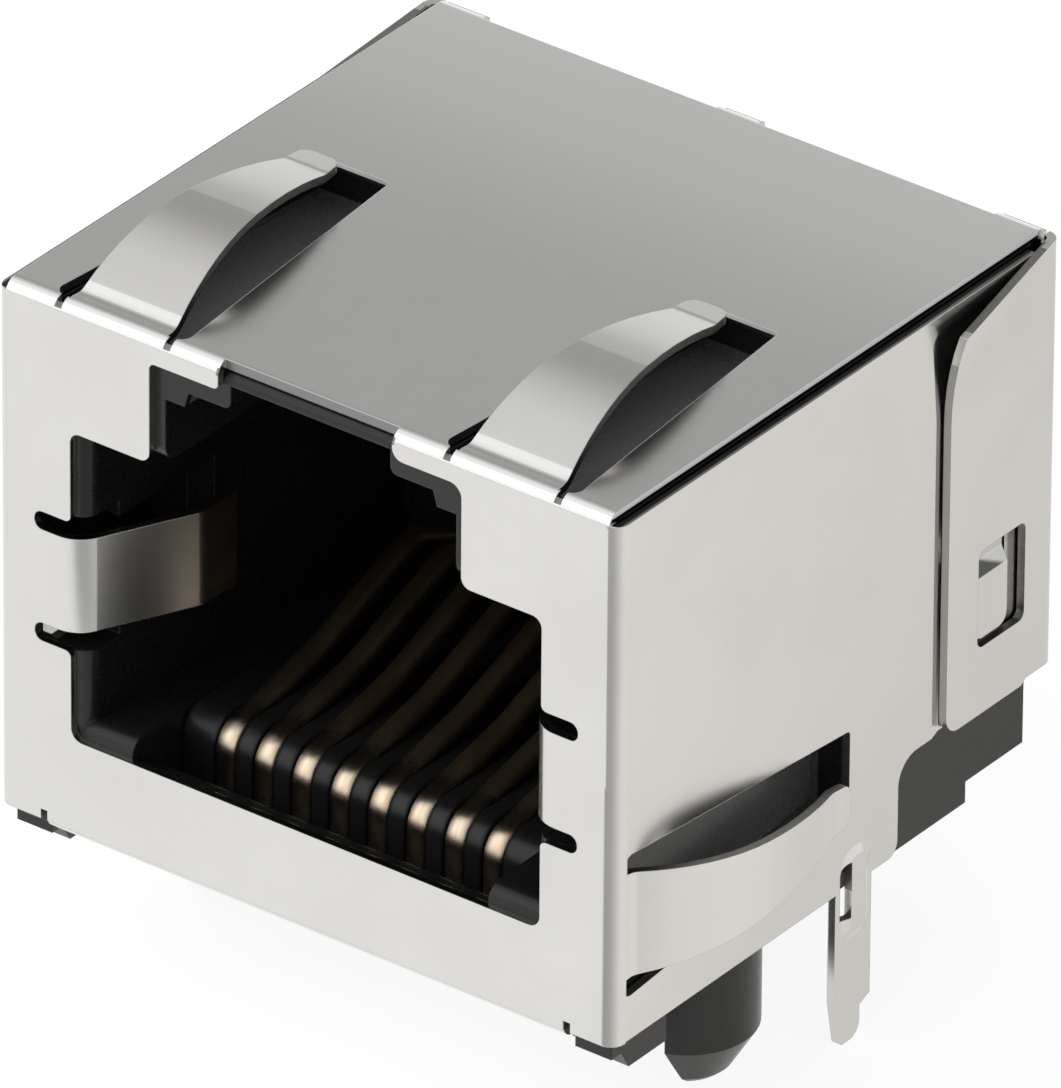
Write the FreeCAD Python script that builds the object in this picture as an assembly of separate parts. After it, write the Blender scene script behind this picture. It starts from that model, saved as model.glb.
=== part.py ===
import FreeCAD, Part
import math
import os

from FreeCAD import Vector

# Shielded right-angle modular jack for a circuit board, in millimetres.
# It is drawn from the middle of the front face's lower edge: X to the right as seen from
# behind the plug, Y into the jack, Z up. The finished pieces are then moved so that the origin
# lies on the board's surface, midway between the two locating pegs.

# Shield
SHEET = 0.20            # thickness of the plated sheet
FOLD = 0.35             # outer radius of the folds
WIDTH = 16.50           # over the two side panels
HEIGHT = 13.20          # foot flange to roof
DEPTH = 15.40           # front face to back panel
ROOF_HALF = 7.97        # half width of the roof between the two side gaps
ROOF_END = 15.11        # raw rear edge of the roof between the bridges
SIDE_TOP = 12.97        # upper edge of a side panel
SIDE_FOOT = 0.27        # lower edge of a side panel
SIDE_END = 14.60        # rear edge of a side panel, under the wing
FOOT_HALF = 6.90        # half width of the flange under the front face
FOOT_DEPTH = 1.60       # reach of that flange under the housing

# Mouth in the front face
MOUTH_HALF = 6.25
MOUTH_SILL = 2.50
MOUTH_HEAD = 10.10
KEYWAY_HALF = 4.13      # widening for the plug's latch
KEYWAY_HEAD = 12.55
KEYWAY_OPEN = 2.30      # the middle of the keyway runs up to the roof
KEYWAY_RIGHT = (0.32, 0.28)     # radii of the keyway's corners, outer and inner
KEYWAY_LEFT = (0.15, 0.13)
ROOF_START = 0.26       # raw front edge of the roof in the keyway
NOTCH_END = 7.22        # end of the slits above and below a grounding finger

# Grounding fingers that press on the plug
GRIP_LOW = 5.12
GRIP_HIGH = 7.42
GRIP_SLIT = 0.45
GRIP_ROOT = 6.60        # where the finger leaves the front face
GRIP_BEND = 0.80        # outer radius of its first bend
GRIP_KNEE = (4.77, 2.69)
GRIP_TIP = (4.73, 3.80)

# Bowed spring fingers on the roof and the sides
SPRING_X = 5.15         # centre of a roof finger
SPRING_Z = 3.09         # centre of a side finger
SPRING_KINK = 0.62      # where it leaves the panel
SPRING_KINK_R = 0.36
SPRING_RISE = 38.0      # degrees of slope after the kink
SPRING_BOW = 5.10       # radius of the rising half
SPRING_TAIL = 9.50      # radius of the falling half
SPRING_FALL = 16.8      # degrees of slope before the tip
SPRING_TIP_R = 0.35
SPRING_TIP = 0.65       # length of the flat tip
SLOT_FRONT = (0.28, 1.76)   # distance from the front face, half width
SLOT_REAR = (8.24, 1.08)
BLADE_FRONT = (0.38, 1.30)
BLADE_REAR = (7.30, 0.50)
NICK = (1.36, 1.54)     # relief beside the finger's root, from its middle

# Wings that fold forward from the back panel over the side panels
WING_FACE = 8.40        # outer face of a wing
WING_FRONT = 11.49
WING_FOOT = 2.50
WING_FOOT_REAR = 2.62
WING_TOP_FRONT = 12.45
WING_TOP_REAR = 13.05
WING_FLARE = 0.38       # how far the upper front corner is turned out
WING_FLARE_START = 10.2
JOG = 0.10              # the side panel is pressed in by this much under the wing

# Ground tabs through the board
TAB_FRONT = 7.81
TAB_REAR = 9.08
TAB_SLIT = (7.96, 8.28) # slit between the two strands of the tab
TAB_PRESS = 0.08        # the rear strand is pressed out by this much
TAB_SHOULDER = -2.78
TAB_TIP = -3.60

# Housing
BODY_HALF = 7.95
BODY_FRONT = SHEET      # the body bears on the back of the front face
BODY_REAR = 14.91
BODY_TOP = 12.95
BODY_FOOT = 0.06
BODY_STEP_Y = 12.85     # the underside steps up behind this line
BODY_STEP_Z = 0.58
CAVITY_HALF = 5.95
CAVITY_HEAD = 10.10
CAVITY_FLOOR = 2.90
CAVITY_END = 11.30
LEAD_IN = 0.40

# Feet and pegs
STANDOFF = 0.70         # board surface to the shield's foot flange
PEG_PITCH = 12.70
PEG_Y = 5.09
PEG_R = 1.60
PEG_FLAT = 0.55         # flat face on the inner side, beyond the peg's axis
PEG_SHOULDER = -2.10
PEG_TIP = -3.20
PEG_TIP_R = 1.03

# Contacts
CONTACTS = 8
PITCH = 1.02
TAIL_PITCH = 1.27
TAIL_ROWS = (PEG_Y + 6.35, PEG_Y + 8.89)
TAIL_TIP = -3.45
STRIP_W = 0.45
STRIP_T = 0.25
LOOP_Y = 2.60           # centre of the loop
LOOP_Z = 2.18
LOOP_R = 0.72
RUN_Z = 0.62            # underside of the run below the comb
RUN_R = 0.45            # outer radius of the bend into that run
BEAM_SLOPE = 12.0       # degrees
BEAM_BEND = 5.00        # where the beam gets steeper
BEAM_RISE = 20.0        # degrees
BEAM_CREST = 8.40       # where the beam turns down again
BEAM_END = 9.75
BEAM_FALL = 24.0        # degrees

# Contact carrier
COMB_HALF = 4.72
COMB_TOP = 2.92
COMB_FOOT = 0.30
SLOT_W = 0.58
CARRIER_REAR = 14.83
GAP = 0.03              # seat clearance between moulded pieces

MIRROR = Vector(1, 0, 0)


def on_yz(x):
    """Puts (y, z) pairs on the plane at x."""
    return lambda u, v: Vector(x, u, v)


def on_xz(y):
    """Puts (x, z) pairs on the plane at y."""
    return lambda u, v: Vector(u, y, v)


def on_xy(z):
    """Puts (x, y) pairs on the plane at z."""
    return lambda u, v: Vector(u, v, z)


def rounded_wire(corners, plane):
    """A closed wire through (u, v, radius) corners, each rounded by its own radius."""
    count = len(corners)
    trimmed = []
    for i in range(count):
        u, v, radius = corners[i]
        here = Vector(u, v, 0)
        before = Vector(corners[i - 1][0], corners[i - 1][1], 0)
        after = Vector(corners[(i + 1) % count][0], corners[(i + 1) % count][1], 0)
        to_before = (before - here).normalize()
        to_after = (after - here).normalize()
        angle = to_before.getAngle(to_after)
        if radius <= 0 or abs(math.pi - angle) < 1e-6:
            trimmed.append((here, None, here))
            continue
        reach = radius / math.tan(angle / 2)
        bisector = (to_before + to_after).normalize()
        middle = here + bisector * (radius / math.sin(angle / 2) - radius)
        trimmed.append((here + to_before * reach, middle, here + to_after * reach))
    edges = []
    for i in range(count):
        start, middle, end = trimmed[i]
        if middle is not None:
            arc = Part.Arc(plane(start.x, start.y), plane(middle.x, middle.y), plane(end.x, end.y))
            edges.append(arc.toShape())
        following = trimmed[(i + 1) % count][0]
        if (following - end).Length > 1e-6:
            edges.append(Part.makeLine(plane(end.x, end.y), plane(following.x, following.y)))
    return Part.Wire(edges)


def prism(corners, plane, along):
    """A solid swept from rounded corners on a plane along a vector."""
    return Part.Face(rounded_wire(corners, plane)).extrude(along)


def bar(x0, x1, corners):
    """A prism along X from (y, z, radius) corners."""
    return prism(corners, on_yz(x0), Vector(x1 - x0, 0, 0))


def slab(y0, y1, corners):
    """A prism along Y from (x, z, radius) corners."""
    return prism(corners, on_xz(y0), Vector(0, y1 - y0, 0))


def plate(z0, z1, corners):
    """A prism along Z from (x, y, radius) corners."""
    return prism(corners, on_xy(z0), Vector(0, 0, z1 - z0))


def block(x0, x1, y0, y1, z0, z1):
    """A plain box between two corners."""
    return Part.makeBox(x1 - x0, y1 - y0, z1 - z0, Vector(x0, y0, z0))


def rectangle(u0, u1, v0, v1, radius=0.0):
    """Four corners that share one radius."""
    return [(u0, v0, radius), (u1, v0, radius), (u1, v1, radius), (u0, v1, radius)]


def ribbon(path, thickness, plane, along):
    """A bent strip: path is its outer face, and the strip lies on the left of the path.

    A bend to the left has its radius on the far side, so the inner face gets radius less
    the thickness there and radius plus the thickness at a bend to the right.
    """
    points = [Vector(u, v, 0) for u, v, _ in path]
    radii = [radius for _, _, radius in path]
    runs = [(b - a).normalize() for a, b in zip(points, points[1:])]
    normals = [Vector(-run.y, run.x, 0) for run in runs]
    inner = [(points[0] + normals[0] * thickness, 0.0)]
    for i in range(1, len(points) - 1):
        turn = runs[i - 1].x * runs[i].y - runs[i - 1].y * runs[i].x
        mitre = (normals[i - 1] + normals[i]).normalize()
        shift = thickness / mitre.dot(normals[i])
        change = -thickness if turn > 0 else thickness
        radius = max(radii[i] + change, 0.0) if radii[i] > 0 else 0.0
        inner.append((points[i] + mitre * shift, radius))
    inner.append((points[-1] + normals[-1] * thickness, 0.0))
    corners = [(p.x, p.y, r) for p, r in zip(points, [0.0] + radii[1:-1] + [0.0])]
    corners += [(p.x, p.y, r) for p, r in reversed(inner)]
    return prism(corners, plane, along)


def mirrored(shape):
    """The shape's left-hand twin."""
    return shape.mirror(Vector(0, 0, 0), MIRROR)


def both(shape):
    """The shape and its twin on the other side."""
    return [shape, mirrored(shape)]


def fused(first, *others):
    """One body from touching pieces."""
    return first.fuse([piece for piece in others]).removeSplitter()


# Shield


def mouth_outline(outer, inner):
    """Half of the mouth, from the sill round to the roof, as (x, z, radius).

    outer and inner are the radii of the keyway's two corners.
    """
    return [
        (MOUTH_HALF, MOUTH_SILL, 0.30),
        (MOUTH_HALF, GRIP_LOW - GRIP_SLIT, 0.15),
        (NOTCH_END, GRIP_LOW - GRIP_SLIT, 0.21),
        (NOTCH_END, GRIP_LOW, 0.21),
        (GRIP_ROOT, GRIP_LOW, 0.0),
        (GRIP_ROOT, GRIP_HIGH, 0.0),
        (NOTCH_END, GRIP_HIGH, 0.21),
        (NOTCH_END, GRIP_HIGH + GRIP_SLIT, 0.21),
        (MOUTH_HALF, GRIP_HIGH + GRIP_SLIT, 0.15),
        (MOUTH_HALF, MOUTH_HEAD, 0.25),
        (KEYWAY_HALF, MOUTH_HEAD, 0.25),
        (KEYWAY_HALF, KEYWAY_HEAD, outer),
        (KEYWAY_OPEN, KEYWAY_HEAD, inner),
        (KEYWAY_OPEN, HEIGHT + 1, 0.0),
    ]


def front_face():
    """The front panel with its folds to the roof, the sides and the foot flange."""
    half = WIDTH / 2
    left_half = [(-x, z, r) for x, z, r in reversed(mouth_outline(*KEYWAY_LEFT))]
    plan = [(-half, FOLD + 0.05, 0), (-half, 0, FOLD), (half, 0, FOLD), (half, FOLD + 0.05, 0)]
    wrap = ribbon(plan, SHEET, on_xy(0.22), Vector(0, 0, SIDE_TOP - 0.22))
    section = [
        (FOOT_DEPTH, 0, 0),
        (0, 0, FOLD),
        (0, HEIGHT, FOLD),
        (FOLD + 0.05, HEIGHT, 0),
    ]
    section = [(y, z, r) for y, z, r in reversed(section)]
    tall = ribbon(section, SHEET, on_yz(-FOOT_HALF), Vector(2 * FOOT_HALF, 0, 0))
    upper = [(0, HEIGHT / 2, 0), (0, HEIGHT, FOLD), (FOLD + 0.05, HEIGHT, 0)]
    upper = [(y, z, r) for y, z, r in reversed(upper)]
    shoulders = ribbon(upper, SHEET, on_yz(-ROOF_HALF), Vector(2 * ROOF_HALF, 0, 0))
    wrap = wrap.cut(block(-half, half, -1, FOLD + 1, -1, SIDE_FOOT - 0.03))
    face = fused(wrap, tall, shoulders)
    face = face.cut(slab(-1, ROOF_START, mouth_outline(*KEYWAY_RIGHT) + left_half))
    for relief in both(slab(-1, FOLD, rectangle(FOOT_HALF, FOOT_HALF + 0.18, -1, 0.48))):
        face = face.cut(relief)
    return face


def roof():
    """The flat roof with its rear folds, three bridges to the back panel."""
    deck = block(-ROOF_HALF, ROOF_HALF, FOLD, DEPTH - FOLD, HEIGHT - SHEET, HEIGHT)
    deck = deck.cut(block(-ROOF_HALF, ROOF_HALF, ROOF_END, DEPTH, 0, HEIGHT + 1))
    bridges = []
    for x0, x1 in ((-ROOF_HALF, -6.85), (-0.52, 0.52), (6.85, ROOF_HALF)):
        path = [(DEPTH, HEIGHT - 1, 0), (DEPTH, HEIGHT, FOLD), (ROOF_END - 0.5, HEIGHT, 0)]
        bridges.append(ribbon(path, SHEET, on_yz(x0), Vector(x1 - x0, 0, 0)))
    return fused(deck, *bridges)


def spring_blade():
    """A bowed finger along +Y with its outer face on z = 0 at the root, centred on x = 0."""
    rise, fall = math.radians(SPRING_RISE), math.radians(SPRING_FALL)
    # Distance from each corner of the path to the start of its arc
    leave = SPRING_KINK_R * math.tan(rise / 2)
    climb = SPRING_BOW * math.tan(rise / 2)
    drop = SPRING_TAIL * math.tan(fall / 2)
    settle = SPRING_TIP_R * math.tan(fall / 2)
    crest = SPRING_KINK + (leave + climb) * math.cos(rise)
    height = (leave + climb) * math.sin(rise)
    brow = crest + climb + drop
    tip = brow + (drop + settle) * math.cos(fall)
    tip_height = height - (drop + settle) * math.sin(fall)
    path = [
        (tip + SPRING_TIP, tip_height, 0),
        (tip, tip_height, SPRING_TIP_R),
        (brow, height, SPRING_TAIL),
        (crest, height, SPRING_BOW),
        (SPRING_KINK, 0, SPRING_KINK_R),
        (FOLD, 0, 0),
    ]
    strip = ribbon(path, SHEET, on_yz(-2), Vector(4, 0, 0))
    front_y, front_half = BLADE_FRONT
    rear_y, rear_half = BLADE_REAR
    plan = [
        (front_half, 0, 0),
        (front_half, front_y, 0),
        (rear_half, rear_y, 0.30),
        (-rear_half, rear_y, 0.30),
        (-front_half, front_y, 0),
        (-front_half, 0, 0),
    ]
    return strip.common(plate(-1, 3, plan))


def spring_slot():
    """The slot that a bowed finger leaves in its panel, with the reliefs at the fold."""
    front_y, front_half = SLOT_FRONT
    rear_y, rear_half = SLOT_REAR
    root_y, root_half = BLADE_FRONT
    outline = [
        (-front_half, front_y, 0.28),
        (-root_half, front_y, 0),
        (-root_half, root_y, 0),
        (root_half, root_y, 0),
        (root_half, front_y, 0),
        (front_half, front_y, 0.28),
        (rear_half, rear_y, 0.12),
        (-rear_half, rear_y, 0.12),
    ]
    slot = plate(-1, 1, outline)
    near, far = NICK
    for x in (near, -far):
        slot = slot.fuse(block(x, x + far - near, -0.01, front_y + 0.1, -0.20, 1))
    return slot


def add_spring(sheet, base, turn):
    """Cuts a slot into a panel and bows the finger out of it."""
    move = FreeCAD.Placement(base, FreeCAD.Rotation(Vector(0, 1, 0), turn))
    slot, blade = spring_slot(), spring_blade()
    slot.Placement = move
    blade.Placement = move
    return sheet.cut(slot).fuse(blade)


def pressed(panel, outline, corners, depth, slope):
    """Presses part of the right side panel out (depth > 0) or in (depth < 0).

    corners bound the pressed area, whose edge slopes inwards over the width slope; outline
    is a thick copy of the panel, beyond which nothing is added or taken away.
    """
    steps = []
    for x in (WIDTH / 2, WIDTH / 2 - SHEET):
        edge = rounded_wire(corners, on_yz(x))
        floor = edge.makeOffset2D(-slope)
        floor.translate(Vector(depth, 0, 0))
        steps.append(Part.makeLoft([edge, floor], True, True).common(outline))
    outer_step, inner_step = steps
    if depth > 0:
        return panel.fuse(outer_step).cut(inner_step)
    return panel.cut(outer_step).fuse(inner_step)


def side_outline():
    """A side panel without its ground tab, as (y, z, radius)."""
    return [
        (FOLD, SIDE_FOOT, 0),
        (10.0, SIDE_FOOT, 0.35),
        (10.0, 2.56, 0.65),
        (SIDE_END, 2.56, 0.2),
        (SIDE_END, SIDE_TOP, 0),
        (FOLD, SIDE_TOP, 0),
    ]


def ground_tab():
    """The leg that goes through the board, as (y, z, radius)."""
    return [
        (TAB_FRONT, 1.0, 0),
        (TAB_FRONT, -2.45, 0.4),
        (8.02, TAB_TIP, 0.15),
        (8.72, TAB_TIP, 0.35),
        (8.72, TAB_SHOULDER - 0.10, 0),
        (TAB_REAR, TAB_SHOULDER + 0.05, 0),
        (TAB_REAR, 1.0, 0),
    ]


def side_blank(x0, x1):
    """The side panel and its ground tab before anything is pressed or cut."""
    return bar(x0, x1, side_outline()).fuse(bar(x0, x1, ground_tab()))


def right_side():
    """The right side panel with its spring finger, latch tab and ground tab."""
    face = WIDTH / 2
    outline = side_blank(face - 1, face + 1)
    across = (face - 1, face + 1)
    # Shallow area under the wing, reaching past the panel's rear and lower edges
    jog = [
        (11.18, 1.0, 0), (17.0, 1.0, 0), (17.0, 13.25, 0), (10.98, 12.50, 0.25), (11.16, 10.4, 0),
    ]
    panel = pressed(side_blank(face - SHEET, face), outline, jog, -JOG, 0.36)
    # Rear strand of the ground tab, bowed out to grip the board's hole
    slit_front, slit_rear = TAB_SLIT
    strand = [
        (slit_front + 0.06, -1.05, 0.30), (TAB_REAR - 0.10, -1.05, 0.30),
        (TAB_REAR - 0.10, 1.22, 0.40), (slit_front + 0.06, 1.22, 0.40),
    ]
    panel = pressed(panel, outline, strand, TAB_PRESS, 0.20)
    slit = [
        (slit_front, -0.46, 0), (slit_rear, -0.46, 0), (slit_rear, 0.92, 0), (slit_front, 0.92, 0.28),
    ]
    panel = panel.cut(bar(*across, slit))
    panel = add_spring(panel, Vector(face, 0, SPRING_Z), 90)
    # Latch tab, hanging from the top of its opening and stepped out under the wing's window
    panel = panel.cut(bar(*across, rectangle(12.50, 13.84, 4.20, 6.10)))
    panel = panel.cut(bar(*across, rectangle(13.74, 13.84, 6.00, 6.80)))
    sunk, raised = face - JOG, face - JOG + 0.17
    path = [(raised, 4.30, 0), (raised, 5.82, 0.15), (sunk, 6.16, 0.15), (sunk, 6.50, 0)]
    latch = ribbon(path, SHEET, on_xz(12.56), Vector(0, 1.17, 0))
    tongue = [(12.56, 6.50, 0), (13.73, 6.50, 0), (13.73, 4.30, 0.30), (12.56, 4.30, 0.30)]
    return panel.fuse(latch.common(bar(*across, tongue)))


def wing_section(y, top, flare):
    """Outline of the right wing across Y, its upper end turned out by flare."""
    outer, inner = WING_FACE, WING_FACE - SHEET
    start = WING_FLARE_START
    span = top - start
    plane = on_xz(y)

    def edge(x, lift):
        low, middle, high = plane(x, start), plane(x + lift * 0.27, start + span * 0.52), plane(x + lift, top)
        if lift == 0:
            return Part.makeLine(low, high)
        return Part.Arc(low, middle, high).toShape()

    outside, inside = edge(outer, flare), edge(inner, flare)
    return Part.Wire([
        Part.makeLine(plane(outer, WING_FOOT), plane(outer, start)),
        outside,
        Part.makeLine(plane(outer + flare, top), plane(inner + flare, top)),
        inside,
        Part.makeLine(plane(inner, start), plane(inner, WING_FOOT)),
        Part.makeLine(plane(inner, WING_FOOT), plane(outer, WING_FOOT)),
    ])


def right_wing():
    """The right wing: flared upper front corner, window over the latch tab."""
    rear = DEPTH - FOLD
    sections = [
        wing_section(WING_FRONT, WING_TOP_FRONT, WING_FLARE),
        wing_section(rear, WING_TOP_REAR, 0.0),
    ]
    wing = Part.makeLoft(sections, True, True)
    trim = [
        (WING_FRONT, WING_FOOT, 0.45),
        (14.20, WING_FOOT, 0),
        (14.36, WING_FOOT_REAR, 0),
        (rear + 1, WING_FOOT_REAR, 0),
        (rear + 1, 14, 0),
        (WING_FRONT, 14, 0),
    ]
    wing = wing.common(bar(WING_FACE - 1, WING_FACE + 1, trim))
    window = rectangle(12.57, 14.25, 4.16, 6.58, 0.20)
    return wing.cut(bar(WING_FACE - 1, WING_FACE + 1, window))


def back_panel():
    """The back panel with the folds into both wings."""
    rear = DEPTH - FOLD
    path = [
        (WING_FACE, rear, 0),
        (WING_FACE, DEPTH, FOLD),
        (-WING_FACE, DEPTH, FOLD),
        (-WING_FACE, rear, 0),
    ]
    band = ribbon(path, SHEET, on_xy(WING_FOOT_REAR), Vector(0, 0, WING_TOP_REAR - WING_FOOT_REAR))
    window_sill = HEIGHT - FOLD - 0.02
    for x0, x1 in ((0.52, 6.85), (-6.85, -0.52)):
        band = band.cut(block(x0, x1, rear - 1, DEPTH + 1, window_sill, HEIGHT))
    for side in (-1, 1):
        corner = block(ROOF_HALF, WING_FACE - FOLD, DEPTH - SHEET - 0.1, DEPTH + 1, window_sill, HEIGHT)
        band = band.cut(corner if side > 0 else mirrored(corner))
    return band


def shield():
    """The whole folded sheet."""
    sheet = fused(front_face(), roof())
    for x in (-SPRING_X, SPRING_X):
        sheet = add_spring(sheet, Vector(x, 0, HEIGHT), 0)
    grip = [
        (GRIP_TIP[0], GRIP_TIP[1], 0),
        (GRIP_KNEE[0], GRIP_KNEE[1], 0.5),
        (GRIP_ROOT - GRIP_BEND * 0.617, 0, GRIP_BEND),
        (GRIP_ROOT + 0.1, 0, 0),
    ]
    finger = ribbon(grip, SHEET, on_xy(GRIP_LOW), Vector(0, 0, GRIP_HIGH - GRIP_LOW))
    side = right_side()
    wing = right_wing()
    return fused(sheet, back_panel(), *both(side), *both(wing), *both(finger))


# Housing


def keyway():
    """Stepped slot for the plug's latch above the cavity, as half an (x, z, radius) outline."""
    half = [
        (3.85, CAVITY_HEAD - 1, 0),
        (3.85, 11.67, 0),
        (3.34, 11.67, 0),
        (3.23, 12.04, 0),
        (2.11, 12.04, 0.18),
        (2.11, 12.62, 0),
    ]
    return half + [(-x, z, r) for x, z, r in reversed(half)]


def peg():
    """Right locating peg: a round post with a flat inner side and a tapered end."""
    x = PEG_PITCH / 2
    profile = [
        (0, PEG_TIP), (PEG_TIP_R - 0.16, PEG_TIP), (PEG_TIP_R, PEG_TIP + 0.14),
        (PEG_R, PEG_SHOULDER), (PEG_R, BODY_FOOT + 1), (0, BODY_FOOT + 1),
    ]
    points = [Vector(x + r, PEG_Y, z) for r, z in profile]
    turned = Part.Face(Part.makePolygon(points + points[:1]))
    post = turned.revolve(Vector(x, PEG_Y, 0), Vector(0, 0, 1), 360)
    waste = block(x - 3, x + PEG_FLAT, PEG_Y - 3, PEG_Y + 3, PEG_TIP - 1, BODY_FOOT + 2)
    return post.cut(waste)


def housing():
    """The moulded body."""
    side = [
        (BODY_FRONT, BODY_FOOT, 0),
        (BODY_STEP_Y, BODY_FOOT, 0),
        (BODY_STEP_Y, BODY_STEP_Z, 0),
        (BODY_REAR, BODY_STEP_Z, 0),
        (BODY_REAR, BODY_TOP, 0),
        (BODY_FRONT, BODY_TOP, FOLD),
    ]
    plan = [
        (-BODY_HALF, BODY_FRONT, FOLD), (BODY_HALF, BODY_FRONT, FOLD),
        (BODY_HALF, BODY_REAR, 0), (-BODY_HALF, BODY_REAR, 0),
    ]
    body = bar(-BODY_HALF, BODY_HALF, side).common(plate(0, HEIGHT, plan))
    # Plug cavity, keyway and the recess in front of the contact comb
    cavity = slab(-1, CAVITY_END, rectangle(-CAVITY_HALF, CAVITY_HALF, CAVITY_FLOOR, CAVITY_HEAD))
    latch_way = slab(-1, CAVITY_END - 1.8, keyway())
    body = body.cut(cavity.fuse(latch_way))
    mouth = [
        e for e in body.Edges
        if abs(e.BoundBox.YMin - BODY_FRONT) < 1e-6 and abs(e.BoundBox.YMax - BODY_FRONT) < 1e-6
        and e.BoundBox.XMax < CAVITY_HALF + 0.01 and e.BoundBox.XMin > -CAVITY_HALF - 0.01
        and e.BoundBox.ZMax < CAVITY_HEAD + 0.01
    ]
    body = body.makeFillet(LEAD_IN, mouth)
    seat = COMB_HALF + GAP
    body = body.cut(block(-seat, seat, LOOP_Y - LOOP_R, BODY_REAR + 1, -1, CAVITY_FLOOR + 1))
    body = body.cut(block(-seat, seat, 1.00, LOOP_Y, 0.40, CAVITY_FLOOR + 1))
    body = body.cut(block(-seat, seat, BODY_FRONT - 1, 1.2, 2.05, CAVITY_FLOOR + 1))
    # Rear opening for the upright part of the carrier
    body = body.cut(slab(CAVITY_END - 0.5, BODY_REAR + 1, rectangle(-5.60, 5.60, 0, CAVITY_HEAD - 0.2)))
    # Grooves that guide the carrier's tongues
    for groove in both(block(seat - 0.1, seat + 0.45, 2.4, BODY_REAR + 1, 1.30, 1.90)):
        body = body.cut(groove)
    # Pockets that the spring fingers bow into
    pocket = plate(HEIGHT - 1.25, HEIGHT, [
        (SPRING_X - 1.72, 0.42, 0), (SPRING_X + 1.72, 0.42, 0),
        (SPRING_X + 1.10, 8.62, 0), (SPRING_X - 1.10, 8.62, 0),
    ])
    side_pocket = bar(BODY_HALF - 0.85, BODY_HALF + 1, [
        (0.42, SPRING_Z - 1.72, 0), (8.35, SPRING_Z - 1.10, 0),
        (8.35, SPRING_Z + 1.10, 0), (0.42, SPRING_Z + 1.72, 0),
    ])
    # Room behind the grounding fingers when a plug pushes them aside
    grip_room = block(CAVITY_HALF - 0.5, NOTCH_END + 0.1, -1, 1.3, GRIP_LOW - 0.5, GRIP_HIGH + 0.5)
    grip_swing = block(CAVITY_HALF - 0.5, CAVITY_HALF + 0.75, 0.5, 4.6, GRIP_LOW - 0.1, GRIP_HIGH + 0.1)
    # Clearance over the foot flange
    flange_room = bar(-FOOT_HALF - 0.1, FOOT_HALF + 0.1, [
        (0, -1, 0), (FOOT_DEPTH + 0.1, -1, 0), (FOOT_DEPTH + 0.1, SHEET, 0),
        (SHEET + 0.2, SHEET, 0), (SHEET, SHEET + 0.2, 0), (0, SHEET + 0.2, 0),
    ])
    for hollow in [*both(pocket), *both(side_pocket), *both(grip_room), *both(grip_swing), flange_room]:
        body = body.cut(hollow)
    # Front standoffs with a sloping front, rear standoffs, and plinths at the front corners
    foot = bar(FOOT_HALF + 0.1, BODY_HALF, [
        (0.42, BODY_FOOT + 0.1, 0), (0.92, -STANDOFF, 0), (2.21, -STANDOFF, 0), (2.21, BODY_FOOT + 0.1, 0),
    ])
    plinth = block(FOOT_HALF + 0.1, BODY_HALF, 0.30, 0.95, -0.25, BODY_FOOT + 0.1)
    rear_foot = block(5.60, 7.00, 10.90, 12.30, -STANDOFF, BODY_FOOT + 0.1)
    return fused(body, *both(foot), *both(plinth), *both(rear_foot), *both(peg()))


# Contacts


def contact_x(index):
    """Place of a contact in the comb."""
    return (index - (CONTACTS - 1) / 2) * PITCH


def tail_x(index):
    """Place of its tail in the board."""
    return (index - (CONTACTS - 1) / 2) * TAIL_PITCH


def contact_track(index, half, start, end):
    """Plan of a contact's lower run: it spreads from the comb's pitch to the tails' pitch."""
    x, foot_x = contact_x(index), tail_x(index)
    right = [(x + half, start), (x + half, LOOP_Y + 2.2), (foot_x + half, LOOP_Y + 4.2), (foot_x + half, end)]
    left = [(u - 2 * half, v) for u, v in reversed(right)]
    return [(u, v, 0) for u, v in right + left]


def contact(index):
    """One formed contact: beam, loop, run through the carrier, tail."""
    half = STRIP_W / 2
    tail_y = TAIL_ROWS[index % 2]
    slope = math.radians(BEAM_SLOPE)
    front_y = LOOP_Y - LOOP_R

    def beam_z(y):
        return LOOP_Z + LOOP_R / math.cos(slope) + (y - LOOP_Y) * math.tan(slope)

    crest_z = beam_z(BEAM_BEND) + (BEAM_CREST - BEAM_BEND) * math.tan(math.radians(BEAM_RISE))
    end_z = crest_z - (BEAM_END - BEAM_CREST) * math.tan(math.radians(BEAM_FALL))
    path = [
        (BEAM_END, end_z, 0),
        (BEAM_CREST, crest_z, 0.9),
        (BEAM_BEND, beam_z(BEAM_BEND), 4.0),
        (front_y, beam_z(front_y), LOOP_R - 0.01),
        (front_y, RUN_Z, RUN_R),
        (LOOP_Y + 1.6, RUN_Z, 0),
    ]
    spring = ribbon(path, STRIP_T, on_yz(contact_x(index) - half), Vector(STRIP_W, 0, 0))
    run = plate(RUN_Z, RUN_Z + STRIP_T, contact_track(index, half, LOOP_Y + 1.2, tail_y - 0.6))
    tail_face = tail_y + STRIP_T / 2
    drop = [
        (tail_face, TAIL_TIP, 0),
        (tail_face, RUN_Z + STRIP_T, 0.40),
        (tail_y - 0.9, RUN_Z + STRIP_T, 0),
    ]
    foot_x = tail_x(index)
    tail = ribbon(drop, STRIP_T, on_yz(foot_x - half), Vector(STRIP_W, 0, 0))
    point = slab(tail_y - 1, tail_y + 1, [
        (foot_x - half, 3, 0), (foot_x - half, TAIL_TIP + 0.35, 0), (foot_x - 0.12, TAIL_TIP, 0),
        (foot_x + 0.12, TAIL_TIP, 0), (foot_x + half, TAIL_TIP + 0.35, 0), (foot_x + half, 3, 0),
    ])
    return fused(spring, run, tail.common(point))


# Contact carrier


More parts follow.
